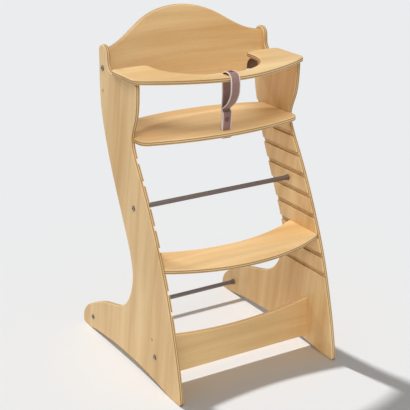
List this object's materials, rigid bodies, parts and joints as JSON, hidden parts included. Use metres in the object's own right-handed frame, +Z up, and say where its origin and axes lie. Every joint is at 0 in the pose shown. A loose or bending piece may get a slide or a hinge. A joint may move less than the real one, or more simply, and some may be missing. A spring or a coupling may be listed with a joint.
{
  "type": "baby high chair",
  "caption": "Height-adjustable plywood high chair with two S-shaped side panels, slide-in seat and foot boards, a curved backrest and a U-shaped safety tray.",
  "frame": {"origin": "On the floor under the middle of the chair's overall box.", "axes": "+Z up, -Y the way the seated child faces, +X to the right when the chair is seen from its front."},
  "size_m": [0.468, 0.533, 0.8605],
  "materials": {
    "birch_ply": "satin clear lacquer over birch veneer, layered edges",
    "moulded_ply": "satin clear lacquer over birch veneer, moulded plywood",
    "dowel_wood": "bare turned beech",
    "steel": "zinc plated, satin",
    "strap_webbing": "matt woven strap with cream piped edges",
    "brown_steel": "dark brown stoved paint",
    "stud_plastic": "semi-gloss press-stud caps"
  },
  "bodies": {
    "frame": {"backrest": "moulded_ply", "backrest_barrel_nut_left": "steel", "backrest_barrel_nut_right": "steel", "backrest_bracket_left": "brown_steel", "backrest_bracket_right": "brown_steel", "backrest_dowels_left": "dowel_wood", "backrest_dowels_right": "dowel_wood", "backrest_screw_left": "steel", "backrest_screw_right": "steel", "bracket_screws_left": "steel", "bracket_screws_right": "steel", "front_rail": "birch_ply", "left_side_panel": "birch_ply", "lower_rod_collar_left": "steel", "lower_rod_collar_right": "steel", "lower_rod_screw_left": "steel", "lower_rod_screw_right": "steel", "lower_tie_rod": "steel", "rail_barrel_nut_left": "steel", "rail_barrel_nut_right": "steel", "rail_dowels_left": "dowel_wood", "rail_dowels_right": "dowel_wood", "rail_screw_left": "steel", "rail_screw_right": "steel", "right_side_panel": "birch_ply", "upper_rod_collar_left": "steel", "upper_rod_collar_right": "steel", "upper_rod_screw_left": "steel", "upper_rod_screw_right": "steel", "upper_tie_rod": "steel"},
    "seat": {"seat_board": "birch_ply", "strap_tail": "strap_webbing", "strap_bar": "steel", "strap_tail_snap": "stud_plastic"},
    "foot_board": {"foot_board": "birch_ply"},
    "tray": {"safety_tray": "birch_ply", "tray_pins": "steel", "strap_loop": "strap_webbing", "strap_loop_snap": "stud_plastic", "strap_bar_snap": "stud_plastic"}
  },
  "joints": [
    {"name": "seat_slide", "type": "slide", "parent": "frame", "child": "seat", "axis": [0, -1, 0], "range_m": [0, 0.1]},
    {"name": "foot_board_slide", "type": "slide", "parent": "frame", "child": "foot_board", "axis": [0, -1, 0], "range_m": [0, 0.1]},
    {"name": "tray_lift", "type": "slide", "parent": "frame", "child": "tray", "axis": [0, 0, 1], "range_m": [0, 0.06]}
  ]
}
